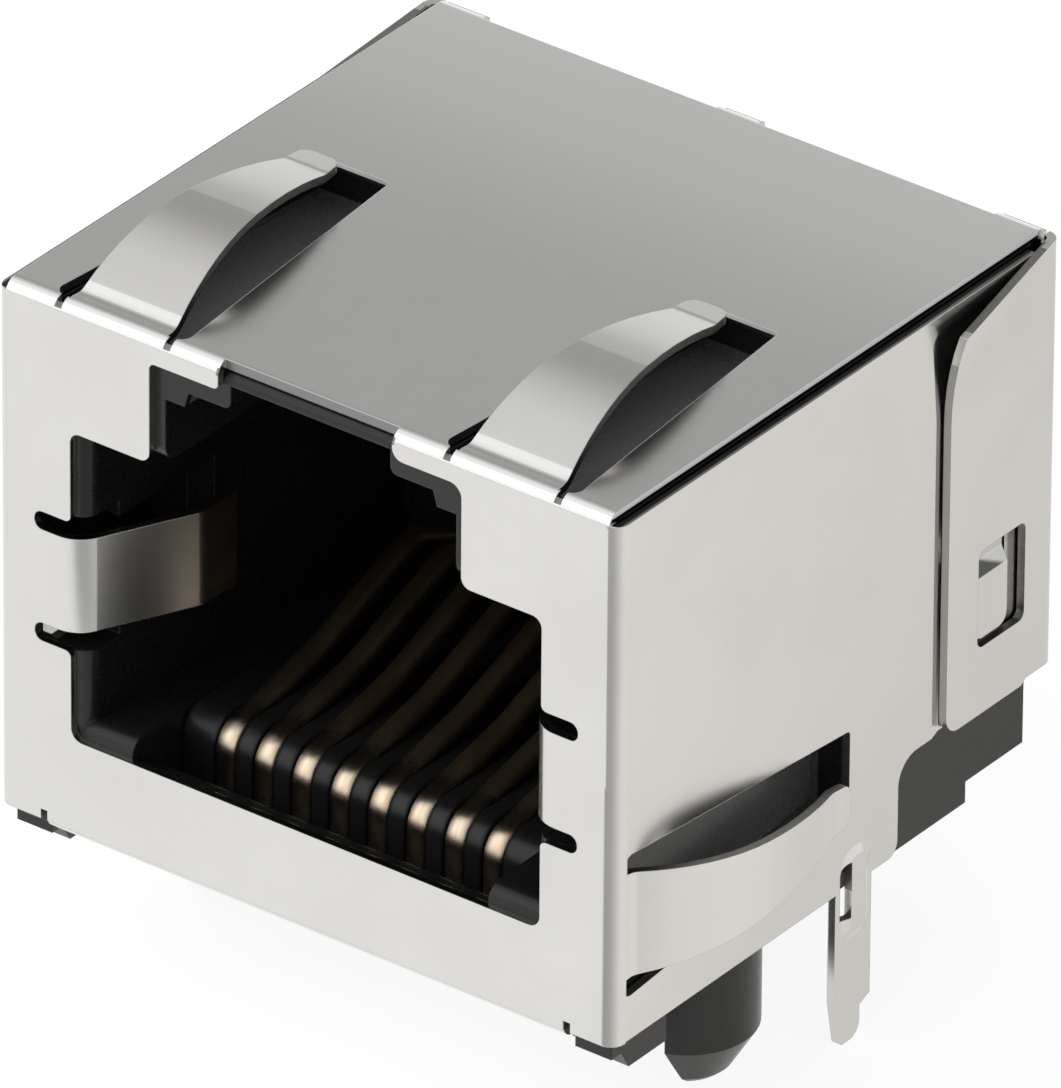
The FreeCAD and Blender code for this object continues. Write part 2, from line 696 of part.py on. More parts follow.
def carrier():
    """The insert that holds the contacts: comb in front, upright block behind."""
    front = LOOP_Y - LOOP_R
    profile = [
        (front, 0.60, 0),
        (front, COMB_TOP, LOOP_R - 0.05),
        (CAVITY_END - 0.3, COMB_TOP, 0),
        (CAVITY_END - 0.3, CAVITY_HEAD - 0.25, 0),
        (CARRIER_REAR, CAVITY_HEAD - 0.25, 0),
        (CARRIER_REAR, COMB_FOOT, 0),
        (2.6, COMB_FOOT, 0),
    ]
    body = bar(-COMB_HALF, COMB_HALF, profile)
    upright = block(-5.57, 5.57, CAVITY_END - 0.3, CARRIER_REAR, CAVITY_FLOOR + 0.02, CAVITY_HEAD - 0.25)
    tongue = block(COMB_HALF - 0.1, COMB_HALF + 0.40, 2.4, CARRIER_REAR, 1.30, 1.84)
    body = fused(body, upright, *both(tongue))
    # Slots of the comb, each with a rounded core that the contact's loop wraps
    core = LOOP_R - STRIP_T - 0.05
    channel = [
        (front - 1, RUN_Z - 0.05, 0),
        (LOOP_Y, RUN_Z - 0.05, 0),
        (LOOP_Y, RUN_Z + STRIP_T, 0),
        (LOOP_Y - core, RUN_Z + 0.50, 0),
        (LOOP_Y - core, LOOP_Z + core, core - 0.01),
        (LOOP_Y + 0.4, LOOP_Z + core, 0),
        (LOOP_Y + 0.9, 1.95, 0),
        (BEAM_END + 0.5, 1.95, 0),
        (BEAM_END + 0.5, 6, 0),
        (front - 1, 6, 0),
    ]
    for index in range(CONTACTS):
        x = contact_x(index)
        body = body.cut(bar(x - SLOT_W / 2, x + SLOT_W / 2, channel))
        # Groove on the underside that the contact's run and tail lie in
        groove = contact_track(index, STRIP_W / 2, front - 1, TAIL_ROWS[index % 2] + STRIP_T / 2)
        body = body.cut(plate(-1, RUN_Z + STRIP_T, groove))
    return body.removeSplitter()


def main():
    """Builds every piece, moves it to the board's datum and writes it."""
    os.makedirs("parts", exist_ok=True)
    pieces = {"shield": shield(), "housing": housing(), "contact_carrier": carrier()}
    for index in range(CONTACTS):
        pieces["contact_%d" % (index + 1)] = contact(index)
    datum = Vector(0, -PEG_Y, STANDOFF)
    for name, piece in pieces.items():
        piece.translate(datum)
        piece.exportStep("parts/%s.step" % name)
        box = piece.BoundBox
        print("%-16s solids %d valid %s volume %.2f  x %.2f..%.2f  y %.2f..%.2f  z %.2f..%.2f" % (
            name, len(piece.Solids), piece.isValid(), piece.Volume,
            box.XMin, box.XMax, box.YMin, box.YMax, box.ZMin, box.ZMax))


main()
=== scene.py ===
"""Finishes, studio and camera for a shielded right-angle modular jack.

The jack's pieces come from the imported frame, each in its own place and at its real size. This script
gives every piece its finish: bright plated sheet for the folded shield, fine matt moulding for the
housing and the contact carrier, and gold turning to tin along the contacts. It then sets up a plain
pale floor, soft studio light and the camera.
"""

import logging
import math
from dataclasses import dataclass, field
from enum import Enum
from typing import Any, Sequence, Union

import bpy
from mathutils import Matrix, Vector

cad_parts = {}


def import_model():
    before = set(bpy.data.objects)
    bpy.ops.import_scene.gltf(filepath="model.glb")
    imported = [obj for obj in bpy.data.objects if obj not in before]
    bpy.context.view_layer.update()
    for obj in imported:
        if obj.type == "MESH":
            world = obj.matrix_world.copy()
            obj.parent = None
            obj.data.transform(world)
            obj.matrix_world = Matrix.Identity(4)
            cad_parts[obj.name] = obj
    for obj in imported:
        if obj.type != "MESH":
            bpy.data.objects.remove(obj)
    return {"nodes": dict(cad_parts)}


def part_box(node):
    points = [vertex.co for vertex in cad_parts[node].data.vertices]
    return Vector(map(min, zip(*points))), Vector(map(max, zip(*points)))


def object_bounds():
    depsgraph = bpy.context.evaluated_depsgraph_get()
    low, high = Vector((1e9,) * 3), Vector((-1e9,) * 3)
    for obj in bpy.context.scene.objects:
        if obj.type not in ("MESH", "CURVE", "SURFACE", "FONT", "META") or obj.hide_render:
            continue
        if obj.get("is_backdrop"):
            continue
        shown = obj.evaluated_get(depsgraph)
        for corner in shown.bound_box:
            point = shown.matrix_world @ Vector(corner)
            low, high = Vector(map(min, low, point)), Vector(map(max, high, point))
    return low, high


LOG = logging.getLogger("jack")
MM = 0.001
BEVEL_SAMPLES = 6
# Between these sizes of its normal's part along an axis, a face comes to look along it or across it
FACING = (0.75, 0.85)
ACROSS = (0.62, 0.52)

Number = Union[int, float]
Colour = tuple[float, float, float]
Corner = tuple[float, float, float]


class Slot(Enum):
    """Material slots of the record."""

    SHEET = "plated_sheet"
    MOULDING = "black_moulding"
    INSERT = "black_insert"
    CONTACT = "contact_plating"


class Axis(Enum):
    """Components of a vector."""

    X = 0
    Y = 1
    Z = 2


# Shader maths


class Socket:
    """One output of a node, with Python operators that add Math nodes."""

    def __init__(self, graph: "Graph", output: bpy.types.NodeSocket) -> None:
        """Wraps an output.

        Args:
            graph: The node tree that the output belongs to.
            output: The socket itself.
        """
        self.graph = graph
        self.output = output

    def _math(self, operation: str, *values: "Value") -> "Socket":
        """Adds a Math node.

        Args:
            operation: The node's operation.
            values: Its inputs, in order.

        Returns:
            The node's result.
        """
        settings = {"operation": operation}
        return self.graph.node("ShaderNodeMath", settings, dict(enumerate(values)))

    def __add__(self, other: "Value") -> "Socket":
        """Sum."""
        return self._math("ADD", self, other)

    def __radd__(self, other: "Value") -> "Socket":
        """Sum with the socket on the right."""
        return self._math("ADD", other, self)

    def __sub__(self, other: "Value") -> "Socket":
        """Difference."""
        return self._math("SUBTRACT", self, other)

    def __rsub__(self, other: "Value") -> "Socket":
        """Difference with the socket on the right."""
        return self._math("SUBTRACT", other, self)

    def __mul__(self, other: "Value") -> "Socket":
        """Product."""
        return self._math("MULTIPLY", self, other)

    def __rmul__(self, other: "Value") -> "Socket":
        """Product with the socket on the right."""
        return self._math("MULTIPLY", other, self)

    def __truediv__(self, other: "Value") -> "Socket":
        """Quotient."""
        return self._math("DIVIDE", self, other)

    def __rtruediv__(self, other: "Value") -> "Socket":
        """Quotient with the socket on the right."""
        return self._math("DIVIDE", other, self)

    def __pow__(self, other: "Value") -> "Socket":
        """Power."""
        return self._math("POWER", self, other)

    def __abs__(self) -> "Socket":
        """Size without sign."""
        return self._math("ABSOLUTE", self)

    def turned_to(self, other: "Value") -> "Socket":
        """Angle of the point (other, self) from the first axis, in radians."""
        return self._math("ARCTAN2", self, other)

    def at_least(self, other: "Value") -> "Socket":
        """The larger of the two."""
        return self._math("MAXIMUM", self, other)

    def at_most(self, other: "Value") -> "Socket":
        """The smaller of the two."""
        return self._math("MINIMUM", self, other)

    def step(self, low: Number, high: Number) -> "Socket":
        """Rises smoothly from 0 at low to 1 at high.

        Args:
            low: Where the rise starts.
            high: Where it ends. It may be below low, and then the result falls.

        Returns:
            The smooth step.
        """
        settings = {"interpolation_type": "SMOOTHSTEP"}
        inputs = {"Value": self, "From Min": low, "From Max": high, "To Min": 0.0, "To Max": 1.0}
        return self.graph.node("ShaderNodeMapRange", settings, inputs)


Value = Union[Socket, Number, Colour, Vector]


class Graph:
    """Builds the nodes of one material or world."""

    def __init__(self, tree: bpy.types.NodeTree) -> None:
        """Empties a node tree and takes it over.

        Args:
            tree: The node tree to build in.
        """
        self.tree = tree
        tree.nodes.clear()

    def node(self, kind: str, settings: dict[str, Any], inputs: dict[Any, Value],
             output: Union[str, int] = 0) -> Socket:
        """Adds any node.

        Args:
            kind: The node's type.
            settings: Its properties, set before its sockets. "stops" fills a colour ramp.
            inputs: Values or links by socket name or number.
            output: The output to return.

        Returns:
            The chosen output.
        """
        made = self.tree.nodes.new(kind)
        for name, value in settings.items():
            if name == "stops":
                self._fill_ramp(made.color_ramp, value)
            else:
                setattr(made, name, value)
        for name, value in inputs.items():
            self._feed(made.inputs[name], value)
        return Socket(self, made.outputs[output])

    def _feed(self, target: bpy.types.NodeSocket, value: Value) -> None:
        """Links or sets one input.

        Args:
            target: The input socket.
            value: A socket to link, or a number or colour to set.
        """
        if isinstance(value, Socket):
            self.tree.links.new(value.output, target)
        elif target.type == "RGBA" and len(value) == 3:
            target.default_value = (*value, 1.0)
        else:
            target.default_value = value

    @staticmethod
    def _fill_ramp(ramp: bpy.types.ColorRamp, stops: Sequence[tuple[float, Colour]]) -> None:
        """Sets a colour ramp's stops.

        Args:
            ramp: The ramp.
            stops: Positions and colours, in order.
        """
        while len(ramp.elements) < len(stops):
            ramp.elements.new(1.0)
        for element, (position, colour) in zip(ramp.elements, stops):
            element.position = position
            element.color = (*colour, 1.0)

    def place(self) -> Socket:
        """The point's place in the row frame, in metres."""
        return self.node("ShaderNodeNewGeometry", {}, {}, "Position")

    def part(self, vector: Socket, axis: Axis) -> Socket:
        """One component of a vector."""
        return self.node("ShaderNodeSeparateXYZ", {}, {0: vector}, axis.value)

    def inside(self, place: Socket, low: Vector, high: Vector, soft: float) -> Socket:
        """Marks a box and its twin on the other side of the jack.

        Args:
            place: The point's place.
            low: The box's lowest corner, with X measured from the jack's middle.
            high: Its highest corner.
            soft: Width of the border.

        Returns:
            1 in the box and 0 outside.
        """
        mask: Value = 1.0
        for axis in Axis:
            along = self.part(place, axis)
            if axis is Axis.X:
                along = abs(along)
            start, end = low[axis.value], high[axis.value]
            mask = along.step(start - soft, start) * along.step(end + soft, end) * mask
        return mask

    def scaled(self, vector: Socket, scale: Vector) -> Socket:
        """A vector times another, component by component."""
        return self.node("ShaderNodeVectorMath", {"operation": "MULTIPLY"}, {0: vector, 1: scale})

    def dot(self, vector: Socket, other: Value) -> Socket:
        """The dot product of two vectors."""
        return self.node("ShaderNodeVectorMath", {"operation": "DOT_PRODUCT"}, {0: vector, 1: other}, "Value")

    def noise(self, vector: Socket, scale: float, detail: float = 2.0, roughness: float = 0.5) -> Socket:
        """Smooth noise about 0.5.

        Args:
            vector: Where it is read.
            scale: Cells per unit of the vector.
            detail: Octaves.
            roughness: Share of each finer octave.

        Returns:
            The noise.
        """
        inputs = {"Vector": vector, "Scale": scale, "Detail": detail, "Roughness": roughness}
        return self.node("ShaderNodeTexNoise", {}, inputs, 0)

    def blend(self, factor: Value, first: Value, second: Value) -> Socket:
        """Mixes two colours.

        Args:
            factor: 0 for the first, 1 for the second.
            first: A colour.
            second: A colour.

        Returns:
            The mixed colour.
        """
        made = self.tree.nodes.new("ShaderNodeMix")
        made.data_type = "RGBA"
        colours = [socket for socket in made.inputs if socket.type == "RGBA"]
        self._feed(made.inputs[0], factor)
        self._feed(colours[0], first)
        self._feed(colours[1], second)
        return Socket(self, next(socket for socket in made.outputs if socket.type == "RGBA"))

    def bump(self, height: Socket, strength: float, distance: float,
             normal: Union[Socket, None] = None) -> Socket:
        """A bumped normal.

        Args:
            height: The height field.
            strength: Share of the effect.
            distance: Height of the field's unit, in metres.
            normal: The normal to start from, if it isn't the surface's own.

        Returns:
            The normal.
        """
        inputs: dict[Any, Value] = {"Height": height, "Strength": strength, "Distance": distance}
        if normal is not None:
            inputs["Normal"] = normal
        return self.node("ShaderNodeBump", {}, inputs)

    def eased_normal(self, radius: float) -> Socket:
        """The surface's normal with its sharp edges eased by a small radius."""
        return self.node("ShaderNodeBevel", {"samples": BEVEL_SAMPLES}, {"Radius": radius})


# Finishes


def new_material(name: str) -> tuple[bpy.types.Material, Graph]:
    """Makes an empty material.

    Args:
        name: Its name.

    Returns:
        The material and the graph of its nodes.
    """
    material = bpy.data.materials.new(name)
    material.use_nodes = True
    return material, Graph(material.node_tree)


@dataclass(frozen=True)
class Zone:
    """A box and its twin on the other side of the jack, in millimetres, with a soft border."""

    low: Corner
    high: Corner
    border: float = 0.04

    def mask(self, graph: Graph, place: Socket) -> Socket:
        """1 in the zone and 0 outside."""
        return graph.inside(place, Vector(self.low) * MM, Vector(self.high) * MM, self.border * MM)


@dataclass(frozen=True)
class CutEdge:
    """Where the sheet shows its sheared edge, on both sides of the jack, in millimetres.

    The edge's faces look along one axis or, where looks_along is false, across it. bare is the
    share of bare metal and torn the share of the plate that is left in streaks. The colour is the
    duller bare metal, and on some edges painted shade or a painted highlight instead.
    """

    low: Corner
    high: Corner
    axis: Axis
    looks_along: bool
    colour: Colour
    bare: float = 1.0
    torn: float = 0.0
    border: float = 0.008

    def mask(self, graph: Graph, place: Socket, normal: Socket) -> Socket:
        """Marks the cut faces.

        Args:
            graph: The sheet's nodes.
            place: The point's place.
            normal: The face's own normal.

        Returns:
            1 on the cut edge and 0 elsewhere.
        """
        box = Zone(self.low, self.high, self.border).mask(graph, place)
        along = abs(graph.part(normal, self.axis))
        faces = along.step(*(FACING if self.looks_along else ACROSS))
        return box * faces


@dataclass(frozen=True)
class PlatedSheet:
    """Bright nickel plate on folded sheet, with a soft rolled grain, duller cut edges and painted light."""

    colour: Colour = (0.735, 0.728, 0.712)
    dull_colour: Colour = (0.690, 0.682, 0.662)
    roughness: float = 0.20
    roughness_spread: float = 0.07
    rim_roughness: float = 0.06
    cut_roughness: float = 0.18
    edge_radius: float = 0.035 * MM
    cloud_size: float = 3.5 * MM
    grain_size: float = 0.30 * MM
    grain_height: float = 0.0004 * MM
    shear_size: float = 0.06 * MM
    cut_edges_and_painted_light: tuple[CutEdge, ...] = (
        # Top of the side panels: painted shade, nearly black, on the inner part in the gap under the roof,
        # and a darker sheared edge, partly painted shade, on the outer part
        CutEdge((8.00, -5.0, 13.60), (8.19, 9.9, 13.75), Axis.Z, True, (0.025, 0.025, 0.025)),
        CutEdge((8.19, -5.0, 13.60), (8.27, 9.9, 13.75), Axis.Z, True, (0.28, 0.28, 0.27)),
        # Long edges of the roof, over the side gaps: a painted highlight band above and painted shade,
        # nearly black, below
        CutEdge((7.90, -4.95, 13.77), (8.00, 10.0, 13.93), Axis.X, True, (0.95, 0.95, 0.94), 0.0),
        CutEdge((7.90, -4.95, 13.66), (8.00, 10.0, 13.77), Axis.X, True, (0.025, 0.025, 0.025)),
        # Spring fingers and their slots, on the roof and on the sides: duller sheared edges, and on the
        # roof nearly black with painted shade
        CutEdge((3.00, -4.60, 13.20), (7.40, 4.20, 15.30), Axis.Z, False, (0.11, 0.11, 0.105), 1.0, 0.10),
        CutEdge((8.00, -4.60, 0.90), (9.60, 4.00, 7.20), Axis.X, False, (0.30, 0.295, 0.28), 1.0, 0.15),
        # Far edge of the roof's slots: a painted highlight along its top
        CutEdge((3.00, 3.05, 13.80), (7.40, 3.25, 13.95), Axis.Y, True, (0.72, 0.72, 0.71), 0.0),
        # Front edge of the roof, over the keyway: duller cut edge, darkened further with painted shade
        CutEdge((0.00, -5.20, 13.60), (2.35, -4.75, 13.93), Axis.Y, True, (0.26, 0.26, 0.26)),
        # Upright front edge of the wings, then the wings' other edges and their windows
        CutEdge((8.17, 6.20, 2.90), (9.00, 6.61, 12.40), Axis.X, False, (0.46, 0.455, 0.44)),
        CutEdge((8.17, 6.62, 2.90), (9.00, 9.70, 13.90), Axis.X, False, (0.26, 0.255, 0.24), 1.0, 0.18),
    )
    # Painted shade on the slope at the top of the latch tabs, and on the panel over it in the wing's window
    latch_slope_shade: Zone = Zone((8.03, 7.53, 6.54), (8.45, 8.70, 6.86))
    slope_shade_colour: Colour = (0.62, 0.615, 0.60)
    window_back_shade: Zone = Zone((8.00, 7.30, 6.86), (8.17, 9.20, 7.34))
    window_shade_colour: Colour = (0.60, 0.595, 0.58)
    # Shade under the window's top. Its upper border comes down by shade_fall per unit towards the back
    latch_shade: Zone = Zone((8.00, 7.53, 6.55), (8.45, 8.62, 7.08))
    shade_colour: Colour = (0.11, 0.108, 0.10)
    shade_fall: float = 0.476
    shade_border: tuple[float, float] = (10.64 * MM, 10.52 * MM)
    # Flat tips of the roof's spring fingers, whose normals turn as if bent down a little
    finger_tip: Zone = Zone((4.20, 1.72, 13.95), (6.10, 2.40, 14.70))
    tip_bend: Vector = Vector((0.0, 0.080, 0.0))
    # Painted highlights on the bends: over the front face, and where the roof's fingers rise
    front_bend: Zone = Zone((0.0, -5.20, 13.40), (8.30, -4.60, 13.96))
    finger_rise: Zone = Zone((3.70, -4.50, 13.88), (6.60, -4.26, 14.12))
    bend_highlight_colour: Colour = (0.98, 0.98, 0.97)
    # Painted reflection on the back of the roof, paler towards its rear edge
    roof_rear: Zone = Zone((0.0, 0.5, 13.86), (8.1, 10.4, 13.95))
    rear_reflection_colour: Colour = (0.96, 0.95, 0.93)
    rear_reach: tuple[float, float] = (1.0 * MM, 11.5 * MM)

    def material(self) -> bpy.types.Material:
        """Builds the plated sheet."""
        material, graph = new_material("plated_sheet")
        place = graph.place()
        clouds = graph.noise(place, 1 / self.cloud_size, 3.0, 0.55)
        grain = graph.noise(place, 1 / self.grain_size, 3.0, 0.6)
        shear = graph.noise(place, 1 / self.shear_size, 2.0, 0.6)
        eased = graph.eased_normal(self.edge_radius)
        flat = graph.node("ShaderNodeNewGeometry", {}, {}, "True Normal")
        rim = graph.dot(eased, flat).step(1.0, 0.90)
        dull = (clouds.step(0.35, 0.70) * 0.55 + grain * 0.30).at_most(1.0)
        colour = self._with_painted_light(graph, place, flat, graph.blend(dull, self.colour, self.dull_colour))
        metallic: Value = 1.0
        cut: Value = 0.0
        for edge in self.cut_edges_and_painted_light:
            mask = edge.mask(graph, place, flat)
            left = shear.step(0.45, 0.70) * edge.torn
            colour = graph.blend(mask * (1.0 - left), colour, edge.colour)
            metallic = metallic - mask * (1.0 - edge.bare)
            cut = mask + cut
        rough = self.roughness + (clouds - 0.5) * self.roughness_spread
        shader = graph.node("ShaderNodeBsdfPrincipled", {}, {
            "Base Color": colour,
            "Metallic": metallic,
            "Roughness": rough + rim * self.rim_roughness + cut * self.cut_roughness,
            "Normal": graph.bump(grain, 0.6, self.grain_height, self._bent_tips(graph, place, eased)),
        })
        finish(graph, shader)
        return material

    def _with_painted_light(self, graph: Graph, place: Socket, flat: Socket, colour: Socket) -> Socket:
        """Paints light into the colour: highlights on the bends, shade on the latch tabs and on the panel
        in the windows, and a paler reflection on the back of the roof.

        Args:
            graph: The sheet's nodes.
            place: The point's place.
            flat: The face's own normal.
            colour: The plate's colour.

        Returns:
            The colour with its painted light.
        """
        back = graph.part(place, Axis.Y)
        height = graph.part(place, Axis.Z)
        upward = graph.part(flat, Axis.Z)
        bends = self.front_bend.mask(graph, place) + self.finger_rise.mask(graph, place)
        thinning = (height + back * self.shade_fall).step(*self.shade_border)
        painted_tints = (
            (bends * upward.step(0.15, 0.40) * upward.step(0.98, 0.90), self.bend_highlight_colour),
            (self.latch_slope_shade.mask(graph, place), self.slope_shade_colour),
            (self.window_back_shade.mask(graph, place), self.window_shade_colour),
            (self.latch_shade.mask(graph, place) * thinning, self.shade_colour),
            (self.roof_rear.mask(graph, place) * back.step(*self.rear_reach), self.rear_reflection_colour),
        )
        for mask, tint in painted_tints:
            colour = graph.blend(mask, colour, tint)
        return colour

    def _bent_tips(self, graph: Graph, place: Socket, normal: Socket) -> Socket:
        """Turns the normal a little at the tips of the roof's fingers.

        Args:
            graph: The sheet's nodes.
            place: The point's place.
            normal: The normal to start from.

        Returns:
            The turned normal.
        """
        tip = self.finger_tip.mask(graph, place)
        bend = graph.node("ShaderNodeVectorMath", {"operation": "SCALE"}, {0: self.tip_bend, "Scale": tip})
        turned = graph.node("ShaderNodeVectorMath", {"operation": "ADD"}, {0: normal, 1: bend})
        return graph.node("ShaderNodeVectorMath", {"operation": "NORMALIZE"}, {0: turned})


@dataclass(frozen=True)
class Moulding:
    """Black moulded plastic with a fine skin, painted greyer as painted light in some zones."""

    name: str
    colour: Colour = (0.008, 0.008, 0.008)
    pale_colour: Colour = (0.016, 0.016, 0.016)
    roughness: float = 0.27
    roughness_spread: float = 0.20
    specular: float = 0.42
    edge_radius: float = 0.05 * MM
    skin_size: float = 0.10 * MM
    skin_height: float = 0.001 * MM
    flow_size: float = 2.6 * MM
    painted_light_colour: Colour = (0.10, 0.10, 0.10)
    painted_light_zones: tuple[Zone, ...] = ()

    def material(self) -> bpy.types.Material:
        """Builds the moulding."""
        material, graph = new_material(self.name)
        place = graph.place()
        skin = graph.noise(place, 1 / self.skin_size, 3.0, 0.6)
        flow = graph.noise(graph.scaled(place, Vector((1.0, 0.35, 1.0))), 1 / self.flow_size, 3.0, 0.5)
        eased = graph.eased_normal(self.edge_radius)
        shade = (flow.step(0.3, 0.75) * 0.5 + skin * 0.4).at_most(1.0)
        colour = graph.blend(shade, self.colour, self.pale_colour)
        for zone in self.painted_light_zones:
            colour = graph.blend(zone.mask(graph, place), colour, self.painted_light_colour)
        shader = graph.node("ShaderNodeBsdfPrincipled", {}, {
            "Base Color": colour,
            "Roughness": self.roughness + (skin - 0.5) * self.roughness_spread,
            "Specular IOR Level": self.specular,
            "Normal": graph.bump(skin, 0.5, self.skin_height, eased),
        })
        finish(graph, shader)
        return material


@dataclass(frozen=True)
class ContactMetal:
    """Copper alloy strip with coined edges: gold where the plug touches, tin on the tails.

    The loops at the mouth are polished, and the beams behind them are rougher and browner, with
    painted shade darkening them deep in the cavity.
    """

    tin_below: float
    loop_end: float
    tin_fade: float = 0.4 * MM
    loop_fade: float = 0.6 * MM
    gold: Colour = (0.90, 0.75, 0.58)
    worn_gold: Colour = (0.78, 0.60, 0.43)
    shaded_beam_gold: Colour = (0.62, 0.45, 0.30)
    tin: Colour = (0.62, 0.61, 0.59)
    roughness: float = 0.24
    roughness_spread: float = 0.12
    tin_roughness: float = 0.10
    beam_roughness: float = 0.12
    coined_radius: float = 0.28 * MM
    streak_size: float = 0.12 * MM
    streak_height: float = 0.0012 * MM

    def material(self) -> bpy.types.Material:
        """Builds the contact metal."""
        material, graph = new_material("contact_plating")
        place = graph.place()
        height = graph.part(place, Axis.Z)
        streaks = graph.noise(graph.scaled(place, Vector((1.0, 0.12, 0.12))), 1 / self.streak_size, 2.0, 0.5)
        gold = graph.blend(streaks.step(0.35, 0.75) * 0.6, self.gold, self.worn_gold)
        tinned = height.step(self.tin_below, self.tin_below - self.tin_fade)
        beam = graph.part(place, Axis.Y).step(self.loop_end, self.loop_end + self.loop_fade)
        gold = graph.blend(beam, gold, self.shaded_beam_gold)
        rough = self.roughness + (streaks - 0.5) * self.roughness_spread
        shader = graph.node("ShaderNodeBsdfPrincipled", {}, {
            "Base Color": graph.blend(tinned, gold, self.tin),
            "Metallic": 1.0,
            "Roughness": rough + tinned * self.tin_roughness + beam * self.beam_roughness,
            "Normal": graph.bump(streaks, 0.4, self.streak_height, graph.eased_normal(self.coined_radius)),
        })
        finish(graph, shader)
        return material


def finish(graph: Graph, shader: Socket, kind: str = "ShaderNodeOutputMaterial") -> None:
    """Ends a material or world with its output.

    Args:
        graph: The nodes.
        shader: What shows on the surface.
        kind: The output node's type.
    """
    output = graph.tree.nodes.new(kind)
    graph.tree.links.new(shader.output, output.inputs["Surface"])


# Pieces of the jack


@dataclass
class Piece:
    """One node of the frame and the finish it gets."""

    node: str
    slot: Slot
    low: Vector = field(init=False)
    high: Vector = field(init=False)

    def __post_init__(self) -> None:
        """Reads the node's size from the frame."""
        self.low, self.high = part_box(self.node)

    def dress(self, nodes: dict[str, bpy.types.Object], material: bpy.types.Material) -> None:
        """Gives the node its material.

        Args:
            nodes: The frame's objects by name.
            material: The finish.
        """
        mesh_object = nodes[self.node]
        mesh_object.data.materials.clear()
        mesh_object.data.materials.append(material)
        size = (self.high - self.low) / MM
        LOG.info("%-16s %-16s %5.1f x %5.1f x %5.1f mm", self.node, self.slot.value, *size)


@dataclass
class Shield:
    """The folded shield."""

    piece: Piece = field(default_factory=lambda: Piece("shield", Slot.SHEET))
    sheet: PlatedSheet = PlatedSheet()

    def build(self, nodes: dict[str, bpy.types.Object]) -> None:
        """Dresses the shield in plated sheet."""
        self.piece.dress(nodes, self.sheet.material())


@dataclass
class Mouldings:
    """The housing and the carrier that slides into it."""

    housing: Piece = field(default_factory=lambda: Piece("housing", Slot.MOULDING))
    carrier: Piece = field(default_factory=lambda: Piece("contact_carrier", Slot.INSERT))
    # Floors of the pockets under the roof fingers and the side fingers, painted a lighter grey as painted
    # light
    pockets: tuple[Zone, ...] = (
        Zone((3.3, -4.7, 12.40), (7.0, 3.6, 12.80), 0.05),
        Zone((6.90, -4.7, 1.9), (7.30, 3.3, 5.6), 0.05),
    )
    carrier_roughness: float = 0.30
    rib_radius: float = 0.16 * MM

    def build(self, nodes: dict[str, bpy.types.Object]) -> None:
        """Dresses both mouldings."""
        self.housing.dress(nodes, Moulding("housing_moulding", painted_light_zones=self.pockets).material())
        carrier = Moulding("carrier_moulding", roughness=self.carrier_roughness, edge_radius=self.rib_radius)
        self.carrier.dress(nodes, carrier.material())


@dataclass
class ContactRow:
    """The row of contacts.

    They are tinned from tin_drop below their top downwards, and their loops end loop_reach behind
    their front.
    """

    count: int
    tin_drop: float = 2.9 * MM
    loop_reach: float = 0.9 * MM
    pieces: list[Piece] = field(init=False)

    def __post_init__(self) -> None:
        """Finds the contacts in the frame."""
        self.pieces = [Piece(f"contact_{i + 1}", Slot.CONTACT) for i in range(self.count)]

    def build(self, nodes: dict[str, bpy.types.Object]) -> None:
        """Dresses every contact in one metal, with its tin below the comb."""
        first = self.pieces[0]
        metal = ContactMetal(first.high.z - self.tin_drop, first.low.y + self.loop_reach)
        material = metal.material()
        for piece in self.pieces:
            piece.dress(nodes, material)


# Studio


@dataclass(frozen=True)
class SoftBox:
    """A square lamp that looks at the jack. The metal shows the sky's pale core in its place."""

    name: str
    azimuth: float
    elevation: float
    distance: float
    side: float
    watts: float
    colour: Colour = (1.0, 1.0, 1.0)

    def build(self, target: Vector) -> None:
        """Hangs the lamp.

        Args:
            target: The point that it looks at.
        """
        lamp = bpy.data.lights.new(self.name, "AREA")
        lamp.shape = "SQUARE"
        lamp.size = self.side
        lamp.energy = self.watts
        lamp.color = self.colour
        holder = bpy.data.objects.new(self.name, lamp)
        bpy.context.scene.collection.objects.link(holder)
        towards = direction(self.azimuth, self.elevation)
        holder.visible_camera = False
        holder.visible_glossy = False
        holder.location = target + towards * self.distance
        holder.rotation_euler = towards.to_track_quat("Z", "Y").to_euler()


def direction(azimuth: float, elevation: float) -> Vector:
    """A unit vector from the jack towards the studio.

    Args:
        azimuth: Degrees; 0 is the plug side, -Y, and 90 is +X.
        elevation: Degrees above the floor.

    Returns:
        The vector.
    """
    turn, lift = math.radians(azimuth), math.radians(elevation)
    return Vector((math.sin(turn) * math.cos(lift), -math.cos(turn) * math.cos(lift), math.sin(lift)))


@dataclass(frozen=True)
class Camera:
    """The photograph's viewpoint, a long lens from the right and above."""

    azimuth: float = 36.9753
    elevation: float = 30.8103
    roll: float = 0.4456
    distance: float = 529.61 * MM
    lens: float = 824.25
    target: Vector = Vector((0.0, 1.91 * MM, 6.70 * MM))
    aside: float = 0.5399 * MM
    above: float = 0.2917 * MM
    clip_start: float = 0.05
    clip_end: float = 10.0

    def build(self) -> None:
        """Adds the camera and makes it the scene's own."""
        back = direction(self.azimuth, self.elevation)
        turn, tilt = math.radians(self.azimuth), math.radians(self.roll)
        level = Vector((math.cos(turn), math.sin(turn), 0.0))
        upright = back.cross(level)
        right = level * math.cos(tilt) + upright * math.sin(tilt)
        up = upright * math.cos(tilt) - level * math.sin(tilt)
        eye = self.target + right * self.aside + up * self.above + back * self.distance
        data = bpy.data.cameras.new("camera")
        data.lens = self.lens
        data.clip_start = self.clip_start
        data.clip_end = self.clip_end
        holder = bpy.data.objects.new("camera", data)
        bpy.context.scene.collection.objects.link(holder)
        axes = Matrix((right, up, back)).transposed().to_4x4()
        holder.matrix_world = Matrix.Translation(eye) @ axes
        bpy.context.scene.camera = holder


